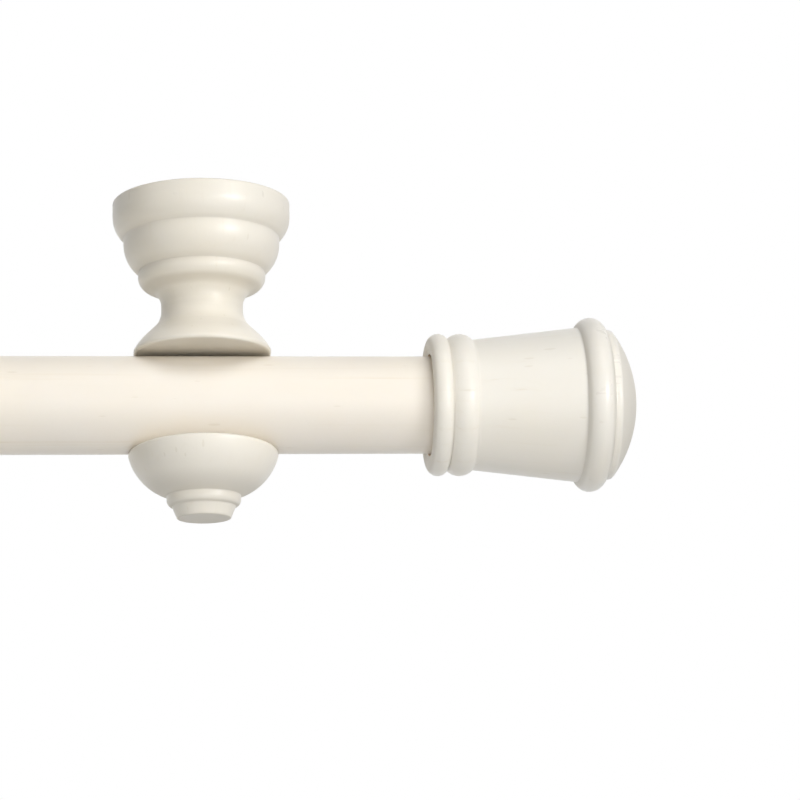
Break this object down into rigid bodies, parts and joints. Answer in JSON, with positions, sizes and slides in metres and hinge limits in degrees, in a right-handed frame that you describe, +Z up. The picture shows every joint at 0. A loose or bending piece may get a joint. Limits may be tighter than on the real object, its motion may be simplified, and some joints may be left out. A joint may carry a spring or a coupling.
{
  "type": "curtain rod",
  "caption": "Ceiling-hung curtain rod of cream painted turned wood: round rod in slotted pedestal brackets, beaded flared finials on its ends, and sliding rings with eye holes.",
  "frame": {"origin": "on the ceiling plane, midway between the two brackets' threaded inserts", "axes": "+X along the rod to the end that the close-up shows, -Y to the room (the brackets' open side), +Z up"},
  "size_m": [1.2748, 0.059, 0.0959],
  "materials": {
    "painted_wood": "satin cream paint",
    "ring_plastic": "off-white, moulded",
    "brass": "turned",
    "zinc_steel": "zinc plated"
  },
  "bodies": {
    "fixed_rail": {"rod": "painted_wood", "bracket_left": "painted_wood", "bracket_right": "painted_wood", "insert_left": "brass", "insert_right": "brass", "rod_screw_left": "zinc_steel", "rod_screw_right": "zinc_steel"},
    "left_finial": {"finial_left": "painted_wood"},
    "right_finial": {"finial_right": "painted_wood"},
    "sliding_ring_01": {"ring_01": "ring_plastic"},
    "sliding_ring_02": {"ring_02": "ring_plastic"},
    "sliding_ring_03": {"ring_03": "ring_plastic"},
    "sliding_ring_04": {"ring_04": "ring_plastic"},
    "sliding_ring_05": {"ring_05": "ring_plastic"},
    "sliding_ring_06": {"ring_06": "ring_plastic"},
    "sliding_ring_07": {"ring_07": "ring_plastic"},
    "sliding_ring_08": {"ring_08": "ring_plastic"},
    "sliding_ring_09": {"ring_09": "ring_plastic"},
    "sliding_ring_10": {"ring_10": "ring_plastic"}
  },
  "joints": [
    {"name": "finial_left_pull", "type": "slide", "parent": "fixed_rail", "child": "left_finial", "axis": [-1, 0, 0], "range_m": [0, 0.03]},
    {"name": "finial_right_pull", "type": "slide", "parent": "fixed_rail", "child": "right_finial", "axis": [1, 0, 0], "range_m": [0, 0.03]},
    {"name": "ring_01_slide", "type": "slide", "parent": "fixed_rail", "child": "sliding_ring_01", "axis": [1, 0, 0], "range_m": [-0.044, 0.044]},
    {"name": "ring_02_slide", "type": "slide", "parent": "fixed_rail", "child": "sliding_ring_02", "axis": [1, 0, 0], "range_m": [-0.044, 0.044]},
    {"name": "ring_03_slide", "type": "slide", "parent": "fixed_rail", "child": "sliding_ring_03", "axis": [1, 0, 0], "range_m": [-0.044, 0.044]},
    {"name": "ring_04_slide", "type": "slide", "parent": "fixed_rail", "child": "sliding_ring_04", "axis": [1, 0, 0], "range_m": [-0.044, 0.044]},
    {"name": "ring_05_slide", "type": "slide", "parent": "fixed_rail", "child": "sliding_ring_05", "axis": [1, 0, 0], "range_m": [-0.044, 0.044]},
    {"name": "ring_06_slide", "type": "slide", "parent": "fixed_rail", "child": "sliding_ring_06", "axis": [1, 0, 0], "range_m": [-0.044, 0.044]},
    {"name": "ring_07_slide", "type": "slide", "parent": "fixed_rail", "child": "sliding_ring_07", "axis": [1, 0, 0], "range_m": [-0.044, 0.044]},
    {"name": "ring_08_slide", "type": "slide", "parent": "fixed_rail", "child": "sliding_ring_08", "axis": [1, 0, 0], "range_m": [-0.044, 0.044]},
    {"name": "ring_09_slide", "type": "slide", "parent": "fixed_rail", "child": "sliding_ring_09", "axis": [1, 0, 0], "range_m": [-0.044, 0.044]},
    {"name": "ring_10_slide", "type": "slide", "parent": "fixed_rail", "child": "sliding_ring_10", "axis": [1, 0, 0], "range_m": [-0.044, 0.044]}
  ]
}
